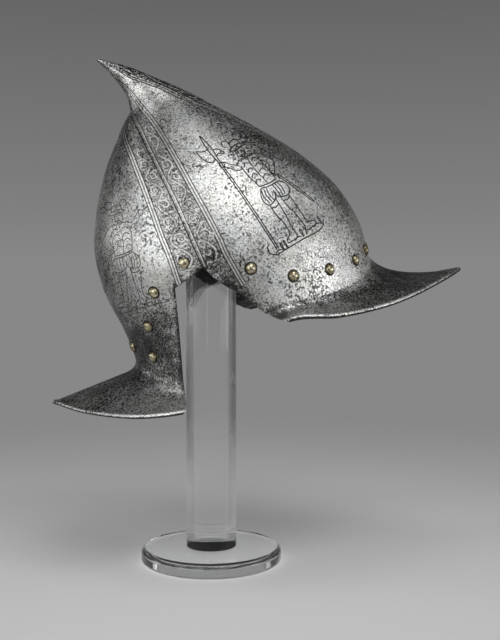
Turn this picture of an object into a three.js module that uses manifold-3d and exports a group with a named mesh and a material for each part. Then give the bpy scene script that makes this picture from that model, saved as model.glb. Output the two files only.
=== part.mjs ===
// A morion, the tall open helmet of a sixteenth-century foot soldier, on a clear display stand.
// The helmet is raised from one steel plate: a skull drawn up into a swept-back stalk, a pointed front
// brim, a nape with a pointed rear brim, and an arched opening over each ear. Domed brass rivets, which
// held the lining band, run round the foot of the skull. A clear post on a clear disc carries it.
// Millimetres, +Z up. The helmet faces +X and the post stands on the Z axis.
import * as THREE from "three";
import { mergeVertices } from "three/addons/utils/BufferGeometryUtils.js";
import Module from "manifold-3d";

const wasm = await Module();
wasm.setup();

const PLATE = 1.5; // thickness of the steel
const GAP = 0.3; // between pieces that touch
const TURNED_EDGE = 1.9; // radius of the bead along both brims
const RIDGE = 1.08; // above 1 draws the front of each section towards a low ridge
const CORNER_HEIGHT = 139.7; // where the back of the stalk meets the dome behind it
const HOLLOW_HEIGHT = 147; // the stalk is solid above this
const SHOULDER_HEIGHT = 8; // rows are level above this and follow the brim below it
const HELMET_HEIGHT = 240; // helmet frame above the floor
const HELMET_TILT = 15; // degrees, front upwards

const RIVET_HEAD_RADIUS = 4.2;
const RIVET_HEAD_HEIGHT = 2.7;
const RIVET_SHANK_RADIUS = 1.5;
const RIVET_TAIL_RADIUS = 2.5;
const RIVET_TAIL_LENGTH = 1;
const RIVET_SIDES = 10;
const RIVET_CLEARANCE = 0.45; // under the flat of the head, where the plate is hollow

const POST_RADIUS = 20.7;
const POST_SIDES = 48;
const BASE_RADIUS = 58;
const BASE_THICKNESS = 12;
const BASE_ROUND = 2;
const BASE_SIDES = 64;

// Front of the skull from the stalk down: the ridge, the widest place, half the width there, the crease
// that parts it from the dome behind, and the angle round the section from ridge to crease.
const SKULL_SECTIONS = [
  { z: 187.2, front: -45.2, mid: -45.2, half: 0, crease: -45.2, turn: 180 },
  { z: 184.5, front: -39.5, mid: -42, half: 2.6, crease: -44.2, turn: 180 },
  { z: 181, front: -33, mid: -37.5, half: 4.4, crease: -42, turn: 180 },
  { z: 172.8, front: -19, mid: -28.5, half: 7.5, crease: -37.4, turn: 180 },
  { z: 162.9, front: -5, mid: -19, half: 11.5, crease: -32.4, turn: 180 },
  { z: 149.7, front: 12.5, mid: -10, half: 17.5, crease: -28.9, turn: 180 },
  { z: 139.7, front: 25, mid: -6, half: 23.5, crease: -29.6, turn: 180 },
  { z: 130, front: 35, mid: -4, half: 32, crease: -29.4, turn: 141 },
  { z: 119.1, front: 48, mid: -2, half: 42, crease: -28.5, turn: 121 },
  { z: 102.5, front: 66, mid: 0, half: 56, crease: -27, turn: 108.5 },
  { z: 84.1, front: 85, mid: 2, half: 68.5, crease: -24.5, turn: 101.5 },
  { z: 63.2, front: 103, mid: 4, half: 79, crease: -21, turn: 100 },
  { z: 43.2, front: 116.3, mid: 5, half: 86, crease: -18.3, turn: 99 },
  { z: 19.8, front: 125.8, mid: 6, half: 91, crease: -15, turn: 98 },
  { z: 1.9, front: 129.3, mid: 6, half: 92, crease: -12.8, turn: 97.5 },
  { z: -13.5, front: 129.3, mid: 6, half: 91.5, crease: -11.5, turn: 97 },
  { z: -45, front: 131, mid: 6, half: 89, crease: -10, turn: 97 },
  { z: -95, front: 133, mid: 6, half: 84, crease: -9, turn: 97 },
];

// Back of the dome and the nape below it, on the middle line, and how far the sides are squeezed in.
const BACK_PROFILE = [
  { z: 139.7, back: -29.6, squeeze: 1 },
  { z: 130.3, back: -38.8, squeeze: 1 },
  { z: 119.1, back: -47, squeeze: 1 },
  { z: 108.2, back: -55.4, squeeze: 1 },
  { z: 96.9, back: -63, squeeze: 1 },
  { z: 85.3, back: -69.5, squeeze: 1 },
  { z: 73.6, back: -75.3, squeeze: 1 },
  { z: 61.7, back: -80.2, squeeze: 1 },
  { z: 49.5, back: -84.5, squeeze: 1 },
  { z: 36.9, back: -87.3, squeeze: 1 },
  { z: 23.9, back: -88.5, squeeze: 0.99 },
  { z: 10.6, back: -88.4, squeeze: 0.98 },
  { z: -3.4, back: -86.6, squeeze: 0.96 },
  { z: -24.9, back: -81.6, squeeze: 0.91 },
  { z: -45.8, back: -78.6, squeeze: 0.87 },
  { z: -62.7, back: -78.4, squeeze: 0.85 },
  { z: -95, back: -78, squeeze: 0.84 },
];

// Brims, from the front point (station 0) past the crease (1) to the rear point (2): the height of the
// root on the wall, how far up the wall the bend starts, the share of the brim the bend takes up, and
// the edge.
const BRIM_STATIONS = [
  { at: 0, root: -43, bend: 28, share: 0.85, x: 204, y: 0, z: -53 },
  { at: 0.1, root: -42, bend: 24, share: 0.75, x: 185, y: 27, z: -53.4 },
  { at: 0.2, root: -41, bend: 18, share: 0.6, x: 160, y: 51, z: -55 },
  { at: 0.3, root: -41, bend: 14, share: 0.5, x: 138, y: 68, z: -56.2 },
  { at: 0.4, root: -42, bend: 11, share: 0.45, x: 115, y: 82, z: -56.3 },
  { at: 0.6, root: -43, bend: 8, share: 0.45, x: 75, y: 98, z: -52.8 },
  { at: 0.8, root: -41, bend: 8, share: 0.45, x: 34, y: 102, z: -45.6 },
  { at: 1, root: -55, bend: 8, share: 0.45, x: -10, y: 100, z: -64 },
  { at: 1.3, root: -80, bend: 8, share: 0.45, x: -44, y: 90, z: -91 },
  { at: 1.4, root: -80, bend: 8, share: 0.4, x: -57, y: 88, z: -91.2 },
  { at: 1.5, root: -77.5, bend: 8, share: 0.35, x: -74, y: 82, z: -89.6 },
  { at: 1.6, root: -73.5, bend: 8, share: 0.3, x: -92, y: 71, z: -86.9 },
  { at: 1.8, root: -64.8, bend: 8, share: 0.2, x: -126, y: 37, z: -78.2 },
  { at: 2, root: -60.6, bend: 8, share: 0.15, x: -150, y: 0, z: -68.6 },
];

// Side view of the opening over the ear: the edge under the skull from the nape to the front brim, then
// the front edge of the nape.
const EAR_ARCH = [
  { x: -23, z: 2.6 },
  { x: -13.4, z: 7.5 },
  { x: -8.4, z: -1.8 },
  { x: -1.6, z: -10.5 },
  { x: 10.8, z: -21.4 },
  { x: 19, z: -34 },
  { x: 23, z: -38.8 },
  { x: 30, z: -44.3 },
  { x: 38, z: -48.8 },
  { x: 50, z: -54 },
];
const NAPE_EDGE = [
  { x: -37, z: -2.7 },
  { x: -41.2, z: -33 },
  { x: -44.8, z: -55 },
  { x: -49.2, z: -80 },
  { x: -51, z: -88 },
  { x: -55, z: -93.5 },
  { x: -62, z: -98 },
];

// Rivets of one side, from the front round to the nape.
const SIDE_RIVETS = [
  { x: 122.8, z: -15.5 },
  { x: 107.5, z: -20 },
  { x: 81.3, z: -20.3 },
  { x: 50.5, z: -17 },
  { x: 20, z: -3 },
  { x: -26.5, z: 13.5 },
  { x: -52.5, z: -2.2 },
  { x: -62.7, z: -26.5 },
  { x: -65, z: -51 },
  { x: -77.2, z: -42 },
];
const FRONT_RIVET_HEIGHT = -10;

// Rows of the plate: level rows of the skull, then rows down the wall, round the bend and out on the brim.
const LEVEL_ROWS = [
  187.2, 184.5, 180, 173, 164, 154, 147, 139.7, 134, 127, 119, 109, 98, 86, 73, 60, 47, 34, 21, 8,
];
const WALL_ROWS = 4;
const BEND_ROWS = 6;
const BRIM_ROWS = 2;
const FRONT_COLUMNS = 14;
const BACK_COLUMNS = 12;
const BEAD_ANGLES = [125, 75, 25, -25, -75, -125];

const steel = new THREE.MeshStandardMaterial({ color: 0x85867f, metalness: 1, roughness: 0.42 });
const brass = new THREE.MeshStandardMaterial({ color: 0x9a7a3c, metalness: 1, roughness: 0.35 });
const acrylic = new THREE.MeshStandardMaterial({
  color: 0xdfe5e4,
  roughness: 0.05,
  transparent: true,
  opacity: 0.35,
});

// A smooth curve through every named column of a table.
function curveThrough(table, key, columns) {
  const rows = [...table].sort((a, b) => a[key] - b[key]);
  const keys = rows.map((row) => row[key]);
  const values = rows.flatMap((row) => columns.map((column) => row[column]));
  const curve = new THREE.CubicInterpolant(keys, Float64Array.from(values), columns.length);
  return (at) => {
    const found = curve.evaluate(at);
    return Object.fromEntries(columns.map((column, i) => [column, found[i]]));
  };
}

const skullAt = curveThrough(SKULL_SECTIONS, "z", ["front", "mid", "half", "crease", "turn"]);
const backAt = curveThrough(BACK_PROFILE, "z", ["back", "squeeze"]);
const brimAt = curveThrough(BRIM_STATIONS, "at", ["root", "bend", "share", "x", "y", "z"]);

// A point of the outer wall. Up to station 1 it lies on the oval of the front, beyond that on the dome.
function wallPoint(station, z) {
  const { front, mid, half, crease, turn } = skullAt(z);
  const closed = z > CORNER_HEIGHT - 0.01;
  const limit = closed ? Math.PI : THREE.MathUtils.degToRad(Math.min(turn, 180));
  const angle = Math.min(station, 1) * limit;
  const reach = Math.cos(angle) > 0 ? front - mid : (mid - crease) / -Math.cos(limit);
  const x = mid + reach * Math.cos(angle);
  const y = half * Math.max(Math.sin(angle), 0) ** RIDGE;
  if (station <= 1 || closed) {
    return new THREE.Vector3(x, y, z);
  }
  const round = ((station - 1) * Math.PI) / 2;
  const { back, squeeze } = backAt(z);
  const width = THREE.MathUtils.lerp(1, squeeze, THREE.MathUtils.smoothstep(station, 1, 1.35));
  return new THREE.Vector3(x - (x - back) * Math.sin(round), y * width * Math.cos(round), z);
}

// One column of the outer surface from the tip of the stalk to just short of the edge of the brim.
function columnPoints(station) {
  const brim = brimAt(station);
  const edge = new THREE.Vector3(brim.x, brim.y, brim.z);
  const root = wallPoint(station, brim.root);
  const bendTop = brim.root + brim.bend;
  const bendEnd = root.clone().lerp(edge, brim.share);
  const outward = edge.clone().sub(bendEnd).normalize();
  const points = LEVEL_ROWS.map((z) => wallPoint(station, z));
  for (let row = 1; row <= WALL_ROWS; row++) {
    points.push(wallPoint(station, THREE.MathUtils.lerp(SHOULDER_HEIGHT, bendTop, row / WALL_ROWS)));
  }
  const bend = new THREE.QuadraticBezierCurve3(wallPoint(station, bendTop), root, bendEnd);
  for (let row = 1; row <= BEND_ROWS; row++) {
    points.push(bend.getPoint(row / BEND_ROWS));
  }
  const brimEnd = edge.clone().addScaledVector(outward, -1.6 * TURNED_EDGE);
  for (let row = 1; row <= BRIM_ROWS; row++) {
    points.push(bendEnd.clone().lerp(brimEnd, row / BRIM_ROWS));
  }
  return { points, edge, outward };
}

// All columns round the helmet, the left side and then its mirror image.
function allColumns() {
  const side = FRONT_COLUMNS + BACK_COLUMNS;
  const columns = [];
  for (let column = 0; column < 2 * side; column++) {
    const step = Math.min(column, 2 * side - column);
    const station = step <= FRONT_COLUMNS ? step / FRONT_COLUMNS : 1 + (step - FRONT_COLUMNS) / BACK_COLUMNS;
    const mirror = new THREE.Vector3(1, column > side ? -1 : 1, 1);
    const { points, edge, outward } = columnPoints(station);
    [...points, edge, outward].forEach((vector) => vector.multiply(mirror));
    columns.push({ points, edge, outward });
  }
  return columns;
}

// Rings of points joined row by row into a skin. Points that fall together become one.
function skin(rings) {
  const points = [];
  const known = new Map();
  const idOf = (point) => {
    const key = point.toArray().map((value) => Math.round(value * 1e3)).join();
    if (!known.has(key)) {
      known.set(key, points.length);
      points.push(point);
    }
    return known.get(key);
  };
  const grid = rings.map((ring) => ring.map(idOf));
  const index = [];
  const count = rings[0].length;
  for (let row = 1; row < grid.length; row++) {
    for (let column = 0; column < count; column++) {
      const next = (column + 1) % count;
      const a = grid[row - 1][column];
      const b = grid[row - 1][next];
      const c = grid[row][column];
      const d = grid[row][next];
      const left = column < count / 2;
      const faces = left ? [[a, c, b], [b, c, d]] : [[a, c, d], [a, d, b]];
      faces.filter((face) => new Set(face).size === 3).forEach((face) => index.push(...face));
    }
  }
  const geometry = new THREE.BufferGeometry().setFromPoints(points);
  geometry.setIndex(index);
  geometry.computeVertexNormals();
  return { geometry, grid };
}

const columns = allColumns();
const outerRings = columns[0].points.map((_, row) => columns.map(({ points }) => points[row]));
const outerSkin = skin(outerRings);
const firstHollowRow = LEVEL_ROWS.indexOf(HOLLOW_HEIGHT);

function outerNormal(row, column) {
  const normals = outerSkin.geometry.getAttribute("normal");
  return new THREE.Vector3().fromBufferAttribute(normals, outerSkin.grid[row][column]);
}

// Rings of the inside, from the brim up, set in from the outer surface and closed at the top.
function innerRings(depth) {
  const rings = [];
  for (let row = outerRings.length - 1; row >= firstHollowRow; row--) {
    rings.push(outerRings[row].map((p, column) => p.clone().addScaledVector(outerNormal(row, column), -depth)));
  }
  return [...rings, capRing(rings.at(-1))];
}

function capRing(ring) {
  const centre = ring.reduce((sum, point) => sum.add(point), new THREE.Vector3()).divideScalar(ring.length);
  return ring.map(() => centre);
}

// The turned edge: a bead round the middle of the plate's thickness.
function beadRings() {
  const lastRow = outerRings.length - 1;
  return BEAD_ANGLES.map((degrees) =>
    columns.map(({ edge, outward }, column) => {
      const angle = THREE.MathUtils.degToRad(degrees);
      const normal = outerNormal(lastRow, column);
      normal.addScaledVector(outward, -normal.dot(outward)).normalize();
      return edge
        .clone()
        .addScaledVector(normal, TURNED_EDGE * Math.sin(angle) - PLATE / 2)
        .addScaledVector(outward, TURNED_EDGE * Math.cos(angle));
    }),
  );
}

function toManifold(geometry) {
  const bare = new THREE.BufferGeometry();
  bare.setAttribute("position", geometry.getAttribute("position").clone());
  bare.setIndex(geometry.index);
  const merged = mergeVertices(bare, 1e-4);
  const corners = merged.index.array;
  const triangles = [];
  for (let i = 0; i < corners.length; i += 3) {
    const face = [corners[i], corners[i + 1], corners[i + 2]];
    if (new Set(face).size === 3) {
      triangles.push(...face);
    }
  }
  const mesh = new wasm.Mesh({
    numProp: 3,
    vertProperties: Float32Array.from(merged.getAttribute("position").array),
    triVerts: Uint32Array.from(triangles),
  });
  return new wasm.Manifold(mesh);
}

function toGeometry(manifold) {
  const { vertProperties, triVerts } = manifold.getMesh();
  const geometry = new THREE.BufferGeometry();
  geometry.setAttribute("position", new THREE.BufferAttribute(vertProperties, 3));
  geometry.setIndex(new THREE.BufferAttribute(triVerts, 1));
  geometry.computeVertexNormals();
  return geometry;
}

// The openings over both ears, cut from side to side in one pass.
function earCutter() {
  const depth = 320;
  const floor = -140;
  const outline = new THREE.Shape();
  outline.moveTo(NAPE_EDGE[0].x, NAPE_EDGE[0].z);
  EAR_ARCH.forEach(({ x, z }) => outline.lineTo(x, z));
  outline.lineTo(EAR_ARCH.at(-1).x, floor);
  outline.lineTo(NAPE_EDGE.at(-1).x, floor);
  [...NAPE_EDGE].reverse().forEach(({ x, z }) => outline.lineTo(x, z));
  const geometry = new THREE.ExtrudeGeometry(outline, { depth, bevelEnabled: false });
  geometry.rotateX(Math.PI / 2);
  geometry.translate(0, depth / 2, 0);
  return toManifold(geometry);
}

// Where a rivet sits: the point of the wall at this x and height, and the way out from there.
function rivetSeat(x, z) {
  let low = 0;
  let high = 2;
  for (let step = 0; step < 40; step++) {
    const middle = (low + high) / 2;
    if (wallPoint(middle, z).x > x) {
      low = middle;
    } else {
      high = middle;
    }
  }
  const station = THREE.MathUtils.clamp(low, 0.01, 1.99);
  const along = wallPoint(station + 0.01, z).sub(wallPoint(station - 0.01, z));
  const up = wallPoint(station, z + 1).sub(wallPoint(station, z - 1));
  return onPlate(wallPoint(low, z), along.cross(up).normalize());
}

// Drops a point along a direction on to the flats the plate is made of.
function onPlate(point, normal) {
  const start = point.clone().addScaledVector(normal, 20);
  const ray = new THREE.Raycaster(start, normal.clone().negate());
  const [hit] = ray.intersectObject(new THREE.Mesh(outerSkin.geometry, steel));
  return { point: hit.point, normal };
}

function mirrored({ point, normal }) {
  const flip = new THREE.Vector3(1, -1, 1);
  return { point: point.clone().multiply(flip), normal: normal.clone().multiply(flip) };
}

// The rivet on the middle line points straight forward.
function frontSeat(z) {
  const up = wallPoint(0, z + 1).sub(wallPoint(0, z - 1));
  const across = new THREE.Vector3(0, 1, 0);
  return onPlate(wallPoint(0, z), across.cross(up).normalize());
}

const rivetSeats = [{ name: "rivet_front", ...frontSeat(FRONT_RIVET_HEIGHT) }];
SIDE_RIVETS.forEach(({ x, z }, i) => {
  const seat = rivetSeat(x, z);
  rivetSeats.push({ name: `rivet_left_${i + 1}`, ...seat });
  rivetSeats.push({ name: `rivet_right_${i + 1}`, ...mirrored(seat) });
});

// Stands a geometry that was turned about Y on the plate at a rivet's seat.
function onSeat(geometry, { point, normal }) {
  const turn = new THREE.Quaternion().setFromUnitVectors(new THREE.Vector3(0, 1, 0), normal);
  return geometry.applyQuaternion(turn).translate(point.x, point.y, point.z);
}

function rivetHole(seat) {
  const hole = new THREE.CylinderGeometry(RIVET_SHANK_RADIUS + GAP, RIVET_SHANK_RADIUS + GAP, 12, RIVET_SIDES);
  return toManifold(onSeat(hole, seat));
}

// A domed head outside, a shank through the plate and a flattened tail inside.
function rivetGeometry() {
  const underHead = RIVET_CLEARANCE;
  const overTail = -PLATE - GAP;
  const profile = [
    new THREE.Vector2(0, overTail - RIVET_TAIL_LENGTH),
    new THREE.Vector2(RIVET_TAIL_RADIUS, overTail - RIVET_TAIL_LENGTH),
    new THREE.Vector2(RIVET_TAIL_RADIUS, overTail),
    new THREE.Vector2(RIVET_SHANK_RADIUS, overTail),
    new THREE.Vector2(RIVET_SHANK_RADIUS, underHead),
  ];
  [0, 32, 62, 90].forEach((degrees) => {
    const angle = THREE.MathUtils.degToRad(degrees);
    const height = underHead + RIVET_HEAD_HEIGHT * Math.sin(angle);
    profile.push(new THREE.Vector2(RIVET_HEAD_RADIUS * Math.cos(angle), height));
  });
  profile.at(-1).x = 0;
  return new THREE.LatheGeometry(profile, RIVET_SIDES);
}

function shellGeometry() {
  const rings = [...outerRings, ...beadRings(), ...innerRings(PLATE)];
  let shell = toManifold(skin(rings).geometry).subtract(earCutter());
  rivetSeats.forEach((seat) => {
    shell = shell.subtract(rivetHole(seat));
  });
  return toGeometry(shell);
}

// The post rises from the disc until it meets the inside of the skull.
function postGeometry() {
  const length = 400;
  const post = new THREE.CylinderGeometry(POST_RADIUS, POST_RADIUS, length, POST_SIDES);
  post.rotateX(Math.PI / 2);
  post.translate(0, 0, length / 2 + BASE_THICKNESS + GAP);
  const hollow = innerRings(PLATE + GAP).slice(BEND_ROWS + BRIM_ROWS).reverse();
  const below = hollow.at(-1).map((p) => new THREE.Vector3(2 * p.x, 2 * p.y, p.z - length));
  const room = skin([...hollow, below, capRing(below)]).geometry;
  room.applyMatrix4(helmet.matrix);
  return toGeometry(toManifold(post).intersect(toManifold(room)));
}

function baseGeometry() {
  const profile = [
    new THREE.Vector2(0, 0),
    new THREE.Vector2(BASE_RADIUS - BASE_ROUND / 2, 0),
    new THREE.Vector2(BASE_RADIUS, BASE_ROUND / 2),
    new THREE.Vector2(BASE_RADIUS, BASE_THICKNESS - BASE_ROUND),
    new THREE.Vector2(BASE_RADIUS - 0.3 * BASE_ROUND, BASE_THICKNESS - 0.3 * BASE_ROUND),
    new THREE.Vector2(BASE_RADIUS - BASE_ROUND, BASE_THICKNESS),
    new THREE.Vector2(0, BASE_THICKNESS),
  ];
  const base = new THREE.LatheGeometry(profile, BASE_SIDES);
  base.rotateX(Math.PI / 2);
  return toGeometry(toManifold(base));
}

function addPiece(group, name, geometry, material) {
  const piece = new THREE.Mesh(geometry, material.clone());
  piece.name = name;
  group.add(piece);
}

const helmet = new THREE.Group();
helmet.name = "helmet";
helmet.position.set(0, 0, HELMET_HEIGHT);
helmet.rotation.y = THREE.MathUtils.degToRad(-HELMET_TILT);
helmet.updateMatrix();
addPiece(helmet, "helmet_shell", shellGeometry(), steel);
rivetSeats.forEach((seat) => {
  const rivet = toGeometry(toManifold(onSeat(rivetGeometry(), seat)));
  addPiece(helmet, seat.name, rivet, brass);
});

const stand = new THREE.Group();
stand.name = "stand";
addPiece(stand, "stand_post", postGeometry(), acrylic);
addPiece(stand, "stand_base", baseGeometry(), acrylic);

const part = new THREE.Group();
part.name = "morion_on_stand";
part.add(helmet, stand);

export default part;
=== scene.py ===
"""A morion helmet on a clear display stand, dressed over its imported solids.

Metres, +Z up, front towards +X. The helmet is drawn level and in millimetres, then tilted and set on its post.
"""

import math

import bpy
import numpy as np
from mathutils import Matrix, Vector
from mathutils.bvhtree import BVHTree


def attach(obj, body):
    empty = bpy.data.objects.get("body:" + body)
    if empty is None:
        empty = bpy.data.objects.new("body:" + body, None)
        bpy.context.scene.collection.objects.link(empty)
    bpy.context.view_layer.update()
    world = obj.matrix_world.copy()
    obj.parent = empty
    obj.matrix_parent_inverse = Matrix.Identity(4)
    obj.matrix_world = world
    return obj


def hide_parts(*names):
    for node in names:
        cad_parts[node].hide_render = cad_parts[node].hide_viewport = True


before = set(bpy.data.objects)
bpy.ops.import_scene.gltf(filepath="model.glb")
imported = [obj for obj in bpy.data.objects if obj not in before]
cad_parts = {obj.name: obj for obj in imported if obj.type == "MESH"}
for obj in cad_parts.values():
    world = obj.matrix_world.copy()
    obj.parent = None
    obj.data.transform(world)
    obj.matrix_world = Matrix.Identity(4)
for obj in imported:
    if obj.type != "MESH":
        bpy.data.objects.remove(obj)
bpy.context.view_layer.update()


# ---- Skull and brims ----
# One steel plate, raised hot into a tall skull whose top is drawn out into a swept-back stalk, with a pointed
# brim in front and another below the nape. Both brims have a turned edge, and the ears are cut clear by a
# pointed arch. The steel is old: pitted all over, with a dark bloom in the pits.
PLATE = 1.5  # thickness of the steel
BEAD = 1.9  # radius of the turned edge
CORNER = 139.7  # height where the crease meets the stalk
SHOULDER = 8.0  # height below which the rows spread to follow the brims
TILT = math.radians(-15)
HELMET_UP = 0.240
STALK_ROWS, SKULL_ROWS, BEND_ROWS, BRIM_ROWS = 27, 45, 14, 8
FRONT_COLUMNS, BACK_COLUMNS = 46, 38
FIRST_HOLLOW_ROW = 29  # the stalk is solid above it
SAW_REACH = 0.16  # to each side, in metres

# Height, front ridge, widest place, half width, crease and the turn from ridge to crease, top to bottom.
skull_z, skull_front, skull_mid, skull_half, skull_crease, skull_turn = np.array([
    (187.2, -45.2, -45.2, 0, -45.2, 180),
    (184.5, -39.5, -42, 2.6, -44.2, 180),
    (181, -33, -37.5, 4.4, -42, 180),
    (172.8, -19, -28.5, 7.5, -37.4, 180),
    (162.9, -5, -19, 11.5, -32.4, 180),
    (149.7, 12.5, -10, 17.5, -28.9, 180),
    (139.7, 25, -6, 23.5, -29.6, 180),
    (130, 35, -4, 32, -29.4, 141),
    (119.1, 48, -2, 42, -28.5, 121),
    (102.5, 66, 0, 56, -27, 108.5),
    (84.1, 85, 2, 68.5, -24.5, 101.5),
    (63.2, 103, 4, 79, -21, 100),
    (43.2, 116.3, 5, 86, -18.3, 99),
    (19.8, 125.8, 6, 91, -15, 98),
    (1.9, 129.3, 6, 92, -12.8, 97.5),
    (-13.5, 129.3, 6, 91.5, -11.5, 97),
    (-45, 131, 6, 89, -10, 97),
    (-95, 133, 6, 84, -9, 97),
])[::-1].T

# Height, back of the dome and nape on the middle line, and how far the sides are squeezed in.
back_z, back_x, back_squeeze = np.array([
    (139.7, -29.6, 1),
    (130.3, -38.8, 1),
    (119.1, -47, 1),
    (108.2, -55.4, 1),
    (96.9, -63, 1),
    (85.3, -69.5, 1),
    (73.6, -75.3, 1),
    (61.7, -80.2, 1),
    (49.5, -84.5, 1),
    (36.9, -87.3, 1),
    (23.9, -88.5, 0.99),
    (10.6, -88.4, 0.98),
    (-3.4, -86.6, 0.96),
    (-24.9, -81.6, 0.91),
    (-45.8, -78.6, 0.87),
    (-62.7, -78.4, 0.85),
    (-95, -78, 0.84),
])[::-1].T

# Station round the helmet, root height, rise and share of the bend, and the edge: x, y, z.
brim_at, brim_root, brim_bend, brim_share, brim_x, brim_y, brim_z = np.array([
    (0, -43, 28, 0.85, 204, 0, -53),
    (0.1, -42, 20, 0.62, 185, 27, -53.4),
    (0.2, -41, 12, 0.42, 160, 51, -55),
    (0.3, -41, 9, 0.34, 138, 68, -56.2),
    (0.4, -42, 7, 0.32, 115, 82, -56.3),
    (0.6, -43, 6, 0.36, 75, 98, -52.8),
    (0.8, -41, 7, 0.42, 34, 102, -45.6),
    (1, -55, 8, 0.45, -10, 100, -64),
    (1.3, -80, 8, 0.45, -44, 90, -91),
    (1.4, -80, 11, 0.48, -57, 88, -91.2),
    (1.5, -77.5, 11, 0.42, -74, 82, -89.6),
    (1.6, -73.5, 10, 0.36, -92, 71, -86.9),
    (1.8, -64.8, 8, 0.2, -126, 37, -78.2),
    (2, -60.6, 8, 0.15, -150, 0, -68.6),
]).T


def smooth(knots, values, at):
    """A smooth curve through a table's column: each slope is the mean of its neighbours'."""
    slope = np.diff(values) / np.diff(knots)
    tangent = np.concatenate([slope[:1], (slope[1:] + slope[:-1]) / 2, slope[-1:]])
    i = np.clip(np.searchsorted(knots, at, side="right") - 1, 0, len(knots) - 2)
    step = knots[i + 1] - knots[i]
    p = (at - knots[i]) / step
    return (
        (2 * p**3 - 3 * p**2 + 1) * values[i]
        + (p**3 - 2 * p**2 + p) * step * tangent[i]
        + (3 * p**2 - 2 * p**3) * values[i + 1]
        + (p**3 - p**2) * step * tangent[i + 1]
    )


def wall(station, z):
    """Points of the skull's outer wall: station 0 is the front ridge, 1 the crease, 2 the back."""
    station, z = np.broadcast_arrays(np.asarray(station, float), np.asarray(z, float))
    table = (skull_front, skull_mid, skull_half, skull_crease, skull_turn)
    front, mid, half, crease, turn = (smooth(skull_z, column, z) for column in table)
    closed = z > CORNER - 0.01
    limit = np.where(closed, math.pi, np.radians(np.minimum(turn, 180)))
    angle = np.minimum(station, 1) * limit
    reach = np.where(np.cos(angle) > 0, front - mid, (mid - crease) / -np.cos(limit))
    x = mid + reach * np.cos(angle)
    y = half * np.maximum(np.sin(angle), 0) ** 1.08
    round_back = np.where(closed, 0, np.clip(station - 1, 0, 1)) * math.pi / 2
    ease = np.clip((station - 1) / 0.35, 0, 1)
    width = 1 + (smooth(back_z, back_squeeze, np.minimum(z, CORNER)) - 1) * ease * ease * (3 - 2 * ease)
    x = x - (x - smooth(back_z, back_x, np.minimum(z, CORNER))) * np.sin(round_back)
    return np.stack([x, y * width * np.cos(round_back), z], -1)


def brim_edge(station):
    """Points of the middle of the turned edge."""
    return np.stack([smooth(brim_at, column, station) for column in (brim_x, brim_y, brim_z)], -1)


def plate_outside(station):
    """Rows of outer points from the tip of the stalk to the edge, for each station."""
    stalk = CORNER + (skull_z[-1] - CORNER) * (1 - np.linspace(0, 1, STALK_ROWS) ** 1.4)
    skull = np.linspace(CORNER, SHOULDER, SKULL_ROWS + 1)[1:]
    rows = [wall(station, z) for z in np.concatenate([stalk, skull])]
    root_z = smooth(brim_at, brim_root, station)
    bend_z = root_z + smooth(brim_at, brim_bend, station)
    root, edge = wall(station, root_z), brim_edge(station)
    bend_end = root + (edge - root) * smooth(brim_at, brim_share, station)[:, None]
    outward = edge - bend_end
    outward /= np.linalg.norm(outward, axis=1, keepdims=True)
    start = wall(station, bend_z)
    bend_steps = np.linspace(0, 1, BEND_ROWS + 1)[1:]
    brim_steps = np.linspace(0, 1, BRIM_ROWS + 1)[1:]
    rows += [wall(station, SHOULDER + (bend_z - SHOULDER) * t) for t in bend_steps]
    rows += [(1 - t) ** 2 * start + 2 * t * (1 - t) * root + t * t * bend_end for t in bend_steps]
    rows += [bend_end + (edge - outward * 1.6 * BEAD - bend_end) * t for t in brim_steps]
    return np.array(rows), edge, outward


front_half = np.linspace(0, 1, FRONT_COLUMNS + 1)
half_turn = np.concatenate([front_half, 1 + np.linspace(0, 1, BACK_COLUMNS + 1)[1:]])
around = np.concatenate([half_turn, half_turn[-2::-1]])
side = np.where(np.arange(len(around)) < len(half_turn), 1.0, -1.0)
side[[0, len(half_turn) - 1, -1]] = 0
outside, edge, outward = plate_outside(around)
for points in (outside, edge[None], outward[None]):
    points[..., 1] *= side

# The wall's thickness: every row is set in along its normal, and a bead runs round the edge between the two.
ring = outside[:, :-1]
across = np.roll(ring, -1, 1) - np.roll(ring, 1, 1)
down = np.gradient(ring, axis=0)
normal = np.cross(down, across)
normal /= np.maximum(np.linalg.norm(normal, axis=2, keepdims=True), 1e-9)
normal = np.concatenate([normal, normal[:, :1]], 1)
edge_normal = normal[-1] - outward * np.sum(normal[-1] * outward, 1, keepdims=True)
edge_normal /= np.linalg.norm(edge_normal, axis=1, keepdims=True)
bead_angles = np.linspace(150, -150, 13)
bead = [
    edge + edge_normal * (BEAD * math.sin(a) - PLATE / 2) + outward * BEAD * math.cos(a)
    for a in np.radians(bead_angles)
]
inside = (outside - normal * PLATE)[:FIRST_HOLLOW_ROW - 1:-1]
crown = np.broadcast_to(inside[-1].mean(0), inside[-1].shape)
plate = np.concatenate([outside, bead, inside, crown[None]])

rows, columns = plate.shape[0] - 1, plate.shape[1] - 1
bpy.ops.object.select_all(action="DESELECT")
bpy.ops.mesh.primitive_grid_add(x_subdivisions=columns, y_subdivisions=rows, size=2)
shell = bpy.context.object
shell.name = "skull_and_brims"
flat = np.zeros(len(shell.data.vertices) * 3)
shell.data.vertices.foreach_get("co", flat)
flat = flat.reshape(-1, 3)
column = np.rint((flat[:, 0] + 1) / 2 * columns).astype(int)
row = np.rint((1 - flat[:, 1]) / 2 * rows).astype(int)
shell.data.vertices.foreach_set("co", (plate[row, column] / 1000).ravel())

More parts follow.
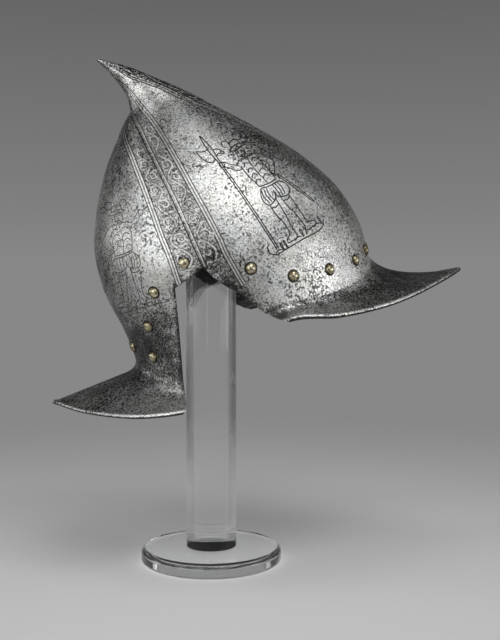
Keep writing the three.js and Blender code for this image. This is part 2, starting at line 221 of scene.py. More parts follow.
# Painted shade lies on the brims, on the bead's underside and inside, row by row from the tip of the stalk: it
# darkens the brims' tops as dark reflections would, and runs darker down the nape.
bead_shading = np.where(bead_angles > 10, 0.0, 2.4)
inside_shading = np.full(len(inside) + 1, 1.6)
unshaded_rows = len(outside) - BEND_ROWS - BRIM_ROWS
nape_rows = BEND_ROWS + 4
front_shading = np.concatenate([
    np.zeros(unshaded_rows), [0.65], np.full(BEND_ROWS - 1, 0.9), np.linspace(0.85, 0.55, BRIM_ROWS),
    bead_shading, inside_shading,
])
rear_shading = np.concatenate([
    np.zeros(unshaded_rows - nape_rows), np.linspace(0, 0.3, nape_rows), np.linspace(0.3, 0.15, BEND_ROWS),
    np.full(BRIM_ROWS, 0.1), bead_shading, inside_shading,
])
rear_share = np.clip((around - 1) / 0.3, 0, 1)[column]
painted_shading = shell.data.attributes.new("painted_shading", "FLOAT", "POINT")
painted_shading.data.foreach_set("value", front_shading[row] * (1 - rear_share) + rear_shading[row] * rear_share)
bpy.ops.object.mode_set(mode="EDIT")
bpy.ops.mesh.select_all(action="SELECT")
bpy.ops.mesh.remove_doubles(threshold=2e-6)
bpy.ops.object.mode_set(mode="OBJECT")

# The ear openings are sawn out from side to side: outline in side view, x and height.
ear_outline = np.array([
    (-37, -2.7), (-23, 2.6), (-13.4, 7.5), (-8.4, -1.8), (-1.6, -10.5), (10.8, -21.4), (19, -34), (23, -38.8),
    (30, -44.3), (38, -48.8), (50, -54), (50, -140), (-62, -140), (-62, -98), (-55, -93.5), (-51, -88),
    (-49.2, -80), (-44.8, -55), (-41.2, -33),
])
bpy.ops.mesh.primitive_circle_add(vertices=len(ear_outline), fill_type="NGON")
saw = bpy.context.object
for vertex, (x, z) in zip(saw.data.vertices, ear_outline / 1000):
    vertex.co = (x, -SAW_REACH, z)
bpy.ops.object.mode_set(mode="EDIT")
bpy.ops.mesh.select_all(action="SELECT")
bpy.ops.mesh.extrude_region_move(TRANSFORM_OT_translate={"value": (0, 2 * SAW_REACH, 0)})
bpy.ops.mesh.select_all(action="SELECT")
bpy.ops.mesh.normals_make_consistent(inside=False)
bpy.ops.object.mode_set(mode="OBJECT")
bpy.context.view_layer.objects.active = shell
cut = shell.modifiers.new("ear_openings", "BOOLEAN")
cut.operation = "DIFFERENCE"
cut.solver = "EXACT"
cut.object = saw
bpy.ops.object.modifier_apply(modifier=cut.name)
bpy.data.objects.remove(saw)
bpy.ops.object.select_all(action="DESELECT")
shell.select_set(True)
bpy.ops.object.shade_smooth_by_angle(angle=math.radians(38))

# Where the acid has bitten the ground away: a band each side of the crease and one along the front ridge.
# Height and place of the band's rear and front line, and height and half width of the ridge's band.
rear_line_z, rear_line_x = np.array([
    (-60, -30), (4, -33.8), (26, -35.4), (34, -36.4), (55, -37.7), (76, -39), (97, -40.3), (124, -39.9),
    (134, -35.5), (139.7, -29.7),
]).T
front_line_z, front_line_x = np.array([
    (-60, 31), (-14, 12.2), (1, 7.8), (14, 4.6), (23, 3.4), (44, -0.7), (64.5, -5.1), (90.5, -10),
    (120, -15.8), (140, -21.5), (158, -28.1), (166, -33.5), (176, -39.2),
]).T
ridge_band_z, ridge_band_half = np.array([
    (-30, 12), (-14, 12), (40, 14), (80, 19), (105, 26), (120, 27.5), (133.6, 26.5), (141.4, 25),
    (149.8, 21.2), (157.5, 20.4), (162.5, 20.2), (167.3, 18.6), (178, 10), (184, 5),
]).T


def rounded(points, step=1.2):
    """A smooth line through a few points, in short steps."""
    points = np.array(points, float)
    run = np.concatenate([[0], np.cumsum(np.linalg.norm(np.diff(points, axis=0), axis=1))])
    at = np.linspace(0, run[-1], max(int(run[-1] / step) + 1, 3))
    return np.stack([smooth(run, points[:, 0], at), smooth(run, points[:, 1], at)], 1)


def ridge_station(distance, z):
    """The station a distance round from the front ridge, at a height."""
    stations = np.linspace(0, 1, 241)
    path = wall(stations, z)
    run = np.concatenate([[0], np.cumsum(np.linalg.norm(np.diff(path, axis=0), axis=1))])
    return np.interp(distance, run, stations)


def ridge_border(z):
    """The station of the ridge band's border, at a height."""
    return ridge_station(np.interp(z, ridge_band_z, ridge_band_half), z)


ridge_line_z = np.linspace(-30, 183, 72)
ridge_line_x = np.array([wall(ridge_border(z), z)[0] for z in ridge_line_z])
flat = np.zeros(len(shell.data.vertices) * 3)
shell.data.vertices.foreach_get("co", flat)
x, z = flat.reshape(-1, 3).T[[0, 2]] * 1000
past_rear = x - smooth(rear_line_z, rear_line_x, np.clip(z, rear_line_z[0], CORNER))
in_band = np.minimum(past_rear, np.interp(z, front_line_z, front_line_x) - x)
in_ridge = x - np.interp(z, ridge_line_z, ridge_line_x)
in_band = np.where((z > -12) & (z < 170), in_band, -5)
in_ridge = np.where((z > -14) & (z < 183), in_ridge, -5)

# The painted shading is deeper down the nape and in a few spots of painted shade, and lighter in spots of
# painted highlight: place in side view, reach along and up, and strength, negative for a highlight. Painted
# shadow also runs along the cut edge round the ears, given as a line, its strength and its reach.
shading_amounts = np.zeros(len(flat) // 3)
painted_shading.data.foreach_get("value", shading_amounts)
for spot_x, spot_z, along, up, strength in (
    (-68, -38, 40, 26, 1.3), (-91, 22, 8, 52, 0.7), (-56, -72, 24, 8, 0.8), (-76, -84, 30, 7, -0.9),
    (-46, 104, 12, 24, 0.42), (92, 60, 18, 22, 0.35), (99, 34, 14, 14, 0.1), (-54, 14, 15, 16, -1.2),
    (-33, 22, 6, 10, 0.6), (115, -54, 22, 8, -0.3), (-4, 15, 8, 11, 1.0), (113, -25, 13, 14, -0.6),
    (34, 112, 22, 14, -0.5), (109, 4, 12, 14, -0.5), (72, -48, 22, 8, -0.5),
):
    shading_amounts += strength * np.exp(-(((x - spot_x) / along) ** 2 + ((z - spot_z) / up) ** 2))
for cut_edge, strength, reach in (
    ([(-1.6, -10.5), (10.8, -21.4), (19, -34), (30, -44.3), (44, -52)], 1.3, 9),
    ([(-13.4, 7.5), (-23, 2.6), (-37, -2.7)], 1.6, 1.5),
    ([(-37, -2.7), (-41.2, -33), (-44.8, -55), (-49.2, -80)], 2.2, 2.0),
):
    cut_edge = rounded(cut_edge)
    from_cut = np.min(np.hypot(x[:, None] - cut_edge[:, 0], z[:, None] - cut_edge[:, 1]), 1)
    shading_amounts += strength * np.clip(1 - from_cut / reach, 0, 1)
painted_shading.data.foreach_set("value", shading_amounts)
ground = shell.data.attributes.new("etched_ground", "FLOAT", "POINT")
ground.data.foreach_set("value", np.clip(np.maximum(in_band, in_ridge), -5, 5))


def node(tree, kind, **settings):
    """Adds a shader node; a setting named like one of its inputs is that input's value."""
    made = tree.nodes.new(kind)
    for name, value in settings.items():
        if name in made.inputs:
            made.inputs[name].default_value = value
        else:
            setattr(made, name, value)
    return made


def new_finish(name):
    """An empty material with its shader and object coordinates."""
    material = bpy.data.materials.new(name)
    material.use_nodes = True
    tree = material.node_tree
    shader = tree.nodes["Principled BSDF"]
    coordinates = tree.nodes.new("ShaderNodeTexCoord").outputs["Object"]
    return material, tree, shader, coordinates


def noise(tree, coordinates, scale, detail, roughness):
    """Cloudy noise over the piece, from 0 to 1."""
    made = node(tree, "ShaderNodeTexNoise", Scale=scale, Detail=detail, Roughness=roughness)
    tree.links.new(coordinates, made.inputs["Vector"])
    return made.outputs["Fac"]


def arithmetic(tree, operation, a, b):
    """One step of arithmetic on two values, each a number or another node's output."""
    made = node(tree, "ShaderNodeMath", operation=operation)
    for socket, value in zip(made.inputs, (a, b)):
        if isinstance(value, (int, float)):
            socket.default_value = value
        else:
            tree.links.new(value, socket)
    return made.outputs[0]


def ramp(tree, factor, *stops):
    """A colour ramp; each stop is its place and a grey or a colour."""
    made = tree.nodes.new("ShaderNodeValToRGB")
    elements = made.color_ramp.elements
    while len(elements) < len(stops):
        elements.new(0.5)
    for element, (place, colour) in zip(elements, stops):
        element.position = place
        grey = isinstance(colour, (int, float))
        element.color = (colour, colour, colour, 1) if grey else (*colour, 1)
    tree.links.new(factor, made.inputs["Fac"])
    return made.outputs["Color"]


pitted_steel, tree, shader, here = new_finish("pitted_steel")
grain = noise(tree, here, 760, 4, 0.7)
dull = noise(tree, here, 610, 4, 0.7)
cloud = noise(tree, here, 70, 4, 0.66)
shading_here = node(tree, "ShaderNodeAttribute", attribute_name="painted_shading").outputs["Fac"]
ground_here = node(tree, "ShaderNodeAttribute", attribute_name="etched_ground").outputs["Fac"]
bitten = ramp(tree, ground_here, (0.2, 0.0), (0.8, 1.0))
patches = arithmetic(tree, "MULTIPLY", arithmetic(tree, "SUBTRACT", cloud, 0.5), 0.42)
speckle = arithmetic(tree, "ADD", grain, patches)
# Painted shade from the shell's attribute darkens the speckle, and painted highlight, where the attribute is
# negative, lightens it.
speckle = arithmetic(tree, "SUBTRACT", speckle, arithmetic(tree, "MULTIPLY", shading_here, 0.15))
speckle = arithmetic(tree, "SUBTRACT", speckle, arithmetic(tree, "MULTIPLY", bitten, 0.06))
shade = ramp(tree, speckle, (0.28, 0.06), (0.38, 0.28), (0.46, 0.6), (0.64, 0.9))
pit_groups = arithmetic(tree, "MULTIPLY", noise(tree, here, 34, 2, 0.5), 0.5)
pits = arithmetic(tree, "ADD", noise(tree, here, 520, 2, 0.5), pit_groups)
shade = arithmetic(tree, "MULTIPLY", shade, ramp(tree, pits, (0.82, 1.0), (0.92, 0.16)))
cool, plain, warm = (0.98, 1.0, 0.992), (1.0, 1.0, 0.98), (1.0, 0.993, 0.945)
cast = ramp(tree, noise(tree, here, 46, 3, 0.55), (0.36, cool), (0.5, plain), (0.66, warm))
tint = node(tree, "ShaderNodeMix", data_type="RGBA", blend_type="MULTIPLY", Factor=1.0)
tree.links.new(shade, tint.inputs[6])
tree.links.new(cast, tint.inputs[7])
tree.links.new(tint.outputs[2], shader.inputs["Base Color"])
shader.inputs["Metallic"].default_value = 1.0
tree.links.new(ramp(tree, dull, (0.4, 0.2), (0.6, 0.54)), shader.inputs["Roughness"])
bump = node(tree, "ShaderNodeBump", Strength=0.4, Distance=0.0006)
tree.links.new(grain, bump.inputs["Height"])
tree.links.new(bump.outputs["Normal"], shader.inputs["Normal"])
shell.data.materials.append(pitted_steel)


def set_on_post(piece):
    """Tilts a finished helmet piece, front upwards, and lifts it to its place on the post."""
    piece.data.transform(Matrix.Translation((0, 0, HELMET_UP)) @ Matrix.Rotation(TILT, 4, "Y"))


plate_surface = BVHTree.FromObject(shell, bpy.context.evaluated_depsgraph_get())
set_on_post(shell)
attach(shell, "root")
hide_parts("helmet_shell")


# ---- Etched ornament ----
# Borders, leaf scrolls and two guardsmen, drawn through a wax ground and bitten with acid, the same on both
# sides. The black left in the lines is laid as a thin film on the plate, with bright metal showing between.
LIFT = 0.05  # how far a black line stands off the plate
FILLET_LIFT = 0.08
LEAF_LIFT, LEAF_SHADE_LIFT = 0.1, 0.045
SUNK = 0.00004  # how far every film reaches into the plate, in metres
BAND_MARGIN = 2.4  # what the scrolls keep clear of a band's border


class Film:
    """Strips of film gathered for one object, each laid on both sides of the helmet."""

    def __init__(self):
        self.points, self.faces = [], []

    def lay(self, line, width, lift=LIFT, shift=0, taper=False):
        """Seats a line on the plate, moves it sideways, seats it again and makes a flat strip along it."""
        shift = np.broadcast_to(np.asarray(shift, float), len(line))[:, None]
        for move in (shift, 0):
            seats = [plate_surface.find_nearest(Vector(point)) for point in line / 1000]
            path = np.array([seat[0] for seat in seats])
            out = np.array([seat[1] for seat in seats])
            across = np.cross(out, np.gradient(path, axis=0))
            across /= np.maximum(np.linalg.norm(across, axis=1, keepdims=True), 1e-12)
            line = path * 1000 + across * move
        half = np.broadcast_to(np.asarray(width, float) / 2000, len(path))[:, None].copy()
        if taper:
            half *= np.sin(np.linspace(0.25, math.pi - 0.1, len(path)))[:, None]
        top, foot = path + out * lift / 1000, path - out * SUNK
        aside = across * half
        strip = np.stack([foot - aside, top - aside, top + aside, foot + aside], 1)
        for mirror in (1, -1):
            first = len(self.points)
            self.points += [(x, y * mirror, z) for x, y, z in strip.reshape(-1, 3)]
            rings = [[first + 4 * i + k for k in range(4)] for i in range(len(path))]
            made = [(a[k], a[k - 3], b[k - 3], b[k]) for a, b in zip(rings, rings[1:]) for k in range(4)]
            made += [tuple(rings[0]), tuple(reversed(rings[-1]))]
            self.faces += made if mirror < 0 else [tuple(reversed(face)) for face in made]

    def piece(self, name, finish):
        """Makes one object of all the strips."""
        mesh = bpy.data.meshes.new(name)
        mesh.from_pydata(self.points, [], self.faces)
        made = bpy.data.objects.new(name, mesh)
        bpy.context.collection.objects.link(made)
        mesh.materials.append(finish)
        return made


def side_station(x, z):
    """The station where the side of the skull shows a place in side view."""
    stations = np.linspace(0, 2 if z < CORNER else 1, 801)
    return float(np.interp(-x, -wall(stations, z)[:, 0], stations))


black_lines, faint_lines, bright_lines, scroll_lines, ridge_lines = (Film() for _ in range(5))


def draw(film, points, width, lift=LIFT, shift=0, taper=False):
    """Lays a line given in side view."""
    film.lay(wall([side_station(x, z) for x, z in points], points[:, 1]), width, lift, shift, taper)


def border(lay_line, fillets, fine):
    """Two bright fillets between three black lines."""
    for off in (-2.05, 0, 2.05):
        lay_line(black_lines, 0.85 * fine, LIFT, off * fine)
    for off in (-1.03, 1.03):
        lay_line(fillets, 1.4 * fine, FILLET_LIFT, off * fine)


# Borders of the cross band, behind the crease and before it, and of the band along the front ridge, and two
# dark lines with a bright one between them along the crease. Towards the tip of the stalk the borders are
# drawn finer.
heights = np.arange(135, -4, -1.0)
rear_edge = np.stack([smooth(rear_line_z, rear_line_x, heights), heights], 1)
border(lambda film, *how: draw(film, rear_edge, *how), bright_lines, 1.0)
heights = np.arange(170, -14, -1.0)
front_edge = np.stack([smooth(front_line_z, front_line_x, heights), heights], 1)
finer = np.interp(heights, [138, 168], [1, 0.5])
border(lambda film, *how: draw(film, front_edge, *how), bright_lines, finer)
heights = np.arange(182, -14, -1.0)
ridge_edge = wall(np.array([ridge_border(z) for z in heights]), heights)
finer = np.interp(heights, [145, 176], [1.35, 0.6])
border(lambda film, *how: film.lay(ridge_edge, *how), ridge_lines, finer)
heights = np.arange(136, 6, -1.0)
crease_edge = np.stack([smooth(skull_z, skull_crease, heights), heights], 1)
draw(black_lines, crease_edge - [1.0, 0], 0.9)
draw(black_lines, crease_edge + [2.2, 0], 0.6)
draw(bright_lines, crease_edge + [1.2, 0], 1.0, 0.07)


def leaf_scroll(bottom, top, width_at, seed):
    """A running scroll drawn freehand: a waving stem, a curl with leaves in each bend, and corner leaves.

    Each stroke is its heights, its distances from the band's middle, the widths of its dark ground and of its
    bright metal, and whether it tapers.
    """
    hand = np.random.default_rng(seed)
    z, way = bottom, 1
    while z < top:
        width = width_at(z)
        rise = width * hand.uniform(0.85, 1.05)
        steps = np.linspace(0, 1, 9)
        stem = way * hand.uniform(0.24, 0.34) * width * np.sin(math.pi * steps)
        yield z + rise * steps, stem, 2.3, 1.5, False
        turn = np.linspace(-0.8, hand.uniform(4.6, 6.2), 18)
        radius = width * (0.3 - 0.2 * np.linspace(0, 1, 18) ** 0.8)
        middle, off = z + rise * hand.uniform(0.45, 0.58), -way * width * hand.uniform(0.08, 0.16)
        yield middle + radius * np.cos(turn), off - way * radius * np.sin(turn), 2.2, 1.4, False
        for place in (3, 7):
            out = np.array([0, 0.5, 1]) * width * hand.uniform(0.16, 0.24)
            lean = turn[place] + np.array([0, 0.25, 0.8]) * hand.uniform(0.5, 1)
            reach = radius[place] + out
            yield middle + reach * np.cos(lean), off - way * reach * np.sin(lean), 3.0, 1.9, True
        for side_way in (-1, 1):
            sway = hand.uniform(-0.12, 0.2)
            corner = np.array([0.02, 0.1 + sway, 0.14 + sway, sway])
            yield z + rise * corner, side_way * width * np.array([0.1, 0.22, 0.34, 0.45]), 3.0, 2.0, True
        z += rise
        way = -way


def in_cross_band(line_z, line_x, z, off):
    """The place in side view of a height and a distance from the middle of half the cross band."""
    start, end = smooth(skull_z, skull_crease, z), smooth(line_z, line_x, z)
    low, high = np.minimum(start, end) + BAND_MARGIN, np.maximum(start, end) - BAND_MARGIN
    return np.stack([np.clip((start + end) / 2 + off, low, high), z], 1)


def cross_band_room(line_z, line_x):
    """How wide a scroll may be at a height, between the crease and a border."""
    def room(z):
        crease = float(smooth(skull_z, skull_crease, np.array(z)))
        return abs(float(np.interp(z, line_z, line_x)) - crease) - 4.5
    return room


def ridge_band_room(z):
    """How wide a scroll may be at a height, between the ridge and its border."""
    return float(np.interp(z, ridge_band_z, ridge_band_half)) - 3.2


for line_z, line_x, top in ((rear_line_z, rear_line_x, 102), (front_line_z, front_line_x, 114)):
    for z, off, dark, bright, taper in leaf_scroll(9, top, cross_band_room(line_z, line_x), top):
        stroke = in_cross_band(line_z, line_x, z, off)
        draw(black_lines, stroke, dark, LEAF_SHADE_LIFT, 0, taper)
        draw(scroll_lines, stroke, bright, LEAF_LIFT, 0, taper)
for z, off, dark, bright, taper in leaf_scroll(-10, 172, ridge_band_room, 3):
    halves = np.interp(z, ridge_band_z, ridge_band_half)
    from_ridge = np.clip(halves / 2 - 0.8 + off, 0.4, halves - BAND_MARGIN)
    stroke = wall(np.array([ridge_station(distance, height) for distance, height in zip(from_ridge, z)]), z)
    black_lines.lay(stroke, 1.9 * dark, LEAF_SHADE_LIFT, 0, taper)
    ridge_lines.lay(stroke, 1.1 * bright, LEAF_LIFT, 0, taper)


# A guardsman beside an upright halberd, on a strip of grass: strokes across and up, in millimetres, from the
# halberd's foot.
def arc(x, y, rx, ry, start, end):
    """A stroke round part of an oval, between two angles."""
    return [(x + rx * math.cos(a), y + ry * math.sin(a)) for a in np.radians(np.linspace(start, end, 13))]


guardsman = [
    arc(19, 75.5, 3.6, 4.6, 0, 360), [(17.2, 76.6), (18.2, 76.8)], [(20.2, 76.8), (21.2, 76.6)],
    [(19.3, 76), (19.8, 74.4), (19.1, 74.2)], [(18, 72.9), (19.2, 72.6), (20.4, 72.9)],
    [(12.5, 79.6), (15, 81.4), (19.5, 82), (24, 81), (26.5, 79), (22, 78.6), (16, 78.6), (12.5, 79.6)],
    [(15, 81.4), (15.6, 85), (19, 86.6), (22.6, 85), (23.6, 81.4)],
    arc(25, 87.5, 3.4, 3.4, -160, 150), arc(30, 85.5, 2.6, 2.6, -190, 120),
    arc(12.5, 86.5, 2.8, 2.8, -40, 250),
    [(13.5, 71), (15, 69.2), (17, 70.4), (19, 69), (21, 70.4), (23, 69.2), (24.6, 71)],
    [(13.6, 70.6), (10.4, 68.4), (7, 70.6), (3.6, 74.6), (1.4, 76.4)],
    [(12, 64), (9.4, 63.8), (6, 66.4), (3, 70.4), (1.2, 72.2)],
    arc(0.4, 74.4, 2, 2.2, 0, 360),
    [(24.6, 70.6), (29.4, 68.4), (34, 63.4), (37.6, 57.4), (36, 53), (31.4, 47.4)],
    [(27.6, 63.4), (30.6, 60.4), (32.4, 57), (31, 53.6), (29, 50.4)],
    [(12, 66), (12.4, 58), (14, 50), (15, 45.4)], [(28, 65), (29, 57), (29.6, 50), (30, 43.4)],
    [(14.6, 46), (22, 44.2), (30.4, 43.8)], [(15, 44), (22, 42.2), (30.4, 41.8)],
    [(20.6, 69), (20, 60), (21, 52), (22.4, 45)],
    *[[(13.6 + i * 0.2, 64 - i * 5), (16.6, 66.4 - i * 5), (19.4, 64.6 - i * 5)] for i in range(4)],
    *[[(22, 65 - i * 5), (25, 66.6 - i * 5), (28, 63.4 - i * 5)] for i in range(4)],
    [(15, 44), (11.4, 39), (11, 33.6), (13.4, 30.4), (18, 30.8), (21.6, 33.4), (22.4, 38)],
    [(30.4, 41.8), (34.4, 37.6), (34.6, 32), (31.4, 29.4), (26.6, 30), (23, 33), (22.4, 38)],
    *[[(14.2 + 2.3 * i, 43 - 0.5 * i), (13.2 + 2.3 * i, 37.4), (14.4 + 2.1 * i, 31.4)] for i in range(3)],
    *[[(24.4 + 2.3 * i, 41.4), (25 + 2.5 * i, 36.6), (25 + 2.1 * i, 30.8)] for i in range(3)],
    [(13.4, 30.4), (13.2, 23), (14.6, 15), (15, 7), (14, 4)],
    [(20.4, 32), (20, 24), (19.6, 16), (18.6, 8), (18.8, 4.4)],
    [(14, 4), (10.6, 2), (9.4, -0.4), (13, -1), (18.4, -0.8), (18.8, 4.4)],
    [(24.6, 31), (25, 24), (27, 15), (28, 7), (28.2, 4)],
    [(31.4, 29.4), (31.4, 22), (31.6, 14), (31.8, 7), (32.4, 4)],
    [(28.2, 4), (28, -0.6), (33, -1), (38.4, -0.4), (37.4, 2), (32.4, 4)],
    [(13.8, 27.6), (17, 26.6), (20.4, 27.8)], [(24.8, 27.6), (28, 26.4), (31.4, 27.4)],
    [(29, 48.6), (32, 46.2), (35, 46)], [(32.4, 45.4), (38, 33), (45.4, 15.4)],
    [(33.8, 46), (39.6, 33.4), (46.6, 16)], [(45.4, 15.4), (47, 13), (46.6, 16)],
    arc(31.6, 49.4, 1.3, 1.3, 0, 360),
]
halberd = [
    [(-0.8, 0), (-0.8, 30), (-0.8, 80)], [(0.8, 0), (0.8, 30), (0.8, 80)],
    [(-0.8, 80), (-1.6, 88), (0, 102), (1.6, 88), (0.8, 80)],
    [(-0.8, 81), (-4, 79.6), (-7.4, 82), (-9.4, 87), (-9.6, 93), (-6.4, 90.6), (-4, 90), (-1.2, 90)],
    [(0.8, 82), (4, 83), (7.6, 80.6), (6.4, 85), (4, 87), (1.2, 87.4)],
]
grass = [
    [(-6, 6), (-7, 1), (-3, -3), (4, -3.4), (12, -4), (22, -4.6), (32, -6), (41, -5.6), (45, -1.6)],
    *[[(a, -3.4), (a + 1.4, 0), (a + 0.6, 3.6)] for a in (3, 6.4, 22.4, 25.6, 41)],
    *[[(a, -3), (a - 1.6, 0.4), (a - 1, 3)] for a in (4.6, 8, 23.8, 42.6)],
    *[[(a, -2), (a + 3, -0.8), (a + 6, -2)] for a in (-3, 15, 34)],
]


def etch(film, strokes, foot, up, size, mirror, width):
    """Draws strokes on the side of the skull: foot is where (0, 0) lies, up the way the figure stands."""
    up = np.array(up) / np.linalg.norm(up)
    right = np.array([up[1], -up[0]]) * mirror
    for stroke in strokes:
        points = rounded(stroke, 1.1)
        draw(film, np.array(foot) + size * (points[:, :1] * right + points[:, 1:] * up), width)


etch(black_lines, guardsman + halberd + grass, (43.9, 5.4), (-0.304, 0.953), 1.0, 1, 1.0)
etch(faint_lines, guardsman + grass, (-47, -8), (0.02, 1), 0.88, -1, 0.7)


def worn_finish(name, scale, soft, stops, metallic, roughness, in_patches=False):
    """A film's finish, whose colour follows fine wear from the first stop to the last."""
    finish, tree, shader, here = new_finish(name)
    wear = noise(tree, here, scale, 4, soft)
    if in_patches:
        wear = arithmetic(tree, "ADD", wear, arithmetic(tree, "MULTIPLY", noise(tree, here, 90, 3, 0.6), 0.5))
    tree.links.new(ramp(tree, wear, *stops), shader.inputs["Base Color"])
    shader.inputs["Metallic"].default_value = metallic
    shader.inputs["Roughness"].default_value = roughness
    return finish


etch_and_shade_black = worn_finish("etch_and_shade_black", 500, 0.6, ((0.42, 0.012), (0.7, 0.06)), 0.7, 0.6)
etched_grey = worn_finish("etched_grey", 300, 0.6, ((0.42, 0.02), (0.66, 0.3)), 1.0, 0.5)
worn_steel = worn_finish("worn_steel", 700, 0.65, (
    (0.6, (0.09, 0.0905, 0.088)), (0.69, (0.44, 0.442, 0.432)), (0.82, (0.82, 0.823, 0.805)),
), 1.0, 0.45, in_patches=True)
bright_steel = worn_finish("bright_steel", 600, 0.65, (
    (0.34, (0.3, 0.302, 0.294)), (0.46, (0.68, 0.683, 0.664)), (0.6, (0.88, 0.883, 0.862)),
), 1.0, 0.4)
frosted_steel = worn_finish("frosted_steel", 600, 0.65, (
    (0.4, (0.04, 0.0405, 0.039)), (0.52, (0.4, 0.403, 0.39)), (0.64, (0.74, 0.743, 0.725)),
), 0.6, 0.5)
for film, name, finish in (
    (black_lines, "etched_lines", etch_and_shade_black),
    (faint_lines, "worn_lines", etched_grey),
    (bright_lines, "bright_fillets", bright_steel),
    (scroll_lines, "leaf_scrolls", worn_steel),
    (ridge_lines, "ridge_ornament", frosted_steel),
):
    ornament = film.piece(name, finish)
    set_on_post(ornament)
    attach(ornament, "root")


# ---- Lining rivets ----
# Turned brass rivets with a low domed head outside, a shank through the plate and a tail hammered flat inside.
# They held the lining band. Their heads are stained brown in places, with a painted highlight on top and
# painted shade round the foot.
HEAD = 4.1
HEAD_RISE = 2.8
HEAD_FOOT = 0.02  # height of the head's flat underside above the plate
SHANK, TAIL = 1.5, 2.5
RIVET_GAP = 0.15
FRONT_RIVET_HEIGHT = -14
# The rivets of one side, from the front to the nape: place in side view, x and height.
rivet_places = np.array([
    (122.8, -15.5), (107.5, -20), (81.3, -20.3), (50.5, -17), (20, -3),
    (-26.5, 13.5), (-52.5, -2.2), (-62.7, -26.5), (-65, -51), (-77.2, -42),
])


def turned(name, profile, sides):
    """A lathe-turned piece: a circle drawn up through a profile of radius and height, and capped."""
    bpy.ops.object.select_all(action="DESELECT")
    radius, height = profile[0]
    bpy.ops.mesh.primitive_circle_add(
        vertices=sides, radius=radius, location=(0, 0, height), fill_type="NGON",
    )
    piece = bpy.context.object
    piece.name = name
    bpy.ops.object.transform_apply(location=True, rotation=False, scale=False)
    bpy.ops.object.mode_set(mode="EDIT")
    bpy.ops.mesh.select_all(action="SELECT")
    for new_radius, new_height in profile[1:]:
        bpy.ops.mesh.extrude_region_move(TRANSFORM_OT_translate={"value": (0, 0, new_height - height)})
        bpy.ops.transform.resize(value=(new_radius / radius,) * 2 + (1,), center_override=(0, 0, new_height))
        radius, height = new_radius, new_height
    bpy.ops.mesh.select_all(action="SELECT")
    bpy.ops.mesh.normals_make_consistent(inside=False)
    bpy.ops.object.mode_set(mode="OBJECT")
    return piece


tail_top = -PLATE - RIVET_GAP
dome_angles = np.radians([0, 12, 26, 40, 54, 68, 80, 87])
rivet_profile = [
    (2.2, tail_top - 0.9), (TAIL, tail_top - 0.6), (TAIL, tail_top), (SHANK, tail_top), (SHANK, HEAD_FOOT),
    (HEAD - 0.25, HEAD_FOOT),
    *[(HEAD * math.cos(a), RIVET_GAP + HEAD_RISE * math.sin(a)) for a in dome_angles],
]
pattern_rivet = turned("pattern_rivet", [(r / 1000, h / 1000) for r, h in rivet_profile], 28)
bpy.ops.object.shade_smooth_by_angle(angle=math.radians(40))
# Painted light on the heads: each point's share of the way up the head, which the brass lightens at the top
# and darkens at the foot.
painted_top_light = pattern_rivet.data.attributes.new("painted_top_light", "FLOAT", "POINT")
up_the_head = [vertex.co.z * 1000 / HEAD_RISE for vertex in pattern_rivet.data.vertices]
painted_top_light.data.foreach_set("value", [min(max(share, 0), 1) for share in up_the_head])

# Every seat is a point of the plate and the way out of it, the front one single and the others on both sides.
both_sides = [[1, 1, 1], [1, -1, 1]]
seats = [(np.array([wall(0, FRONT_RIVET_HEIGHT)]), np.array([(1.0, 0, 0)]))]
for x, z in rivet_places:
    stations = np.linspace(0, 2, 4001)
    station = np.clip(np.interp(-x, -wall(stations, z)[:, 0], stations), 0.01, 1.99)
    along = wall(station + 0.01, z) - wall(station - 0.01, z)
    upward = wall(station, z + 1) - wall(station, z - 1)
    way_out = np.cross(along, upward)
    seats.append((wall(station, z)[None] * both_sides, way_out[None] * both_sides))
rivets = []
for points, ways in seats:
    for point, way in zip(points, ways):
        copy = pattern_rivet.copy()
        copy.data = pattern_rivet.data.copy()
        bpy.context.collection.objects.link(copy)
        turn = Vector(way).to_track_quat("Z", "Y").to_matrix().to_4x4()
        copy.data.transform(Matrix.Translation(Vector(point) / 1000) @ turn)
        rivets.append(copy)
bpy.data.objects.remove(pattern_rivet)
bpy.ops.object.select_all(action="DESELECT")
for copy in rivets:
    copy.select_set(True)
bpy.context.view_layer.objects.active = rivets[0]
bpy.ops.object.join()
rivets = bpy.context.object
rivets.name = "lining_rivets"

old_brass, tree, shader, here = new_finish("old_brass")
top_light_here = node(tree, "ShaderNodeAttribute", attribute_name="painted_top_light").outputs["Fac"]
# The top of each head is painted lighter and its foot darker, added to the brass's own stain noise.
top_light_shift = arithmetic(tree, "MULTIPLY", arithmetic(tree, "SUBTRACT", top_light_here, 0.62), 0.3)
stain_and_top_light = arithmetic(tree, "ADD", noise(tree, here, 380, 5, 0.65), top_light_shift)
brown, dull_brass, bright_brass = (0.07, 0.052, 0.028), (0.32, 0.275, 0.165), (0.66, 0.605, 0.44)
brass = ramp(tree, stain_and_top_light, (0.34, brown), (0.48, dull_brass), (0.66, bright_brass))
tree.links.new(brass, shader.inputs["Base Color"])
shader.inputs["Metallic"].default_value = 1.0
tree.links.new(ramp(tree, stain_and_top_light, (0.35, 0.46), (0.65, 0.24)), shader.inputs["Roughness"])
bump = node(tree, "ShaderNodeBump", Strength=0.2, Distance=0.0004)
tree.links.new(stain_and_top_light, bump.inputs["Height"])
tree.links.new(bump.outputs["Normal"], shader.inputs["Normal"])
rivets.data.materials.append(old_brass)

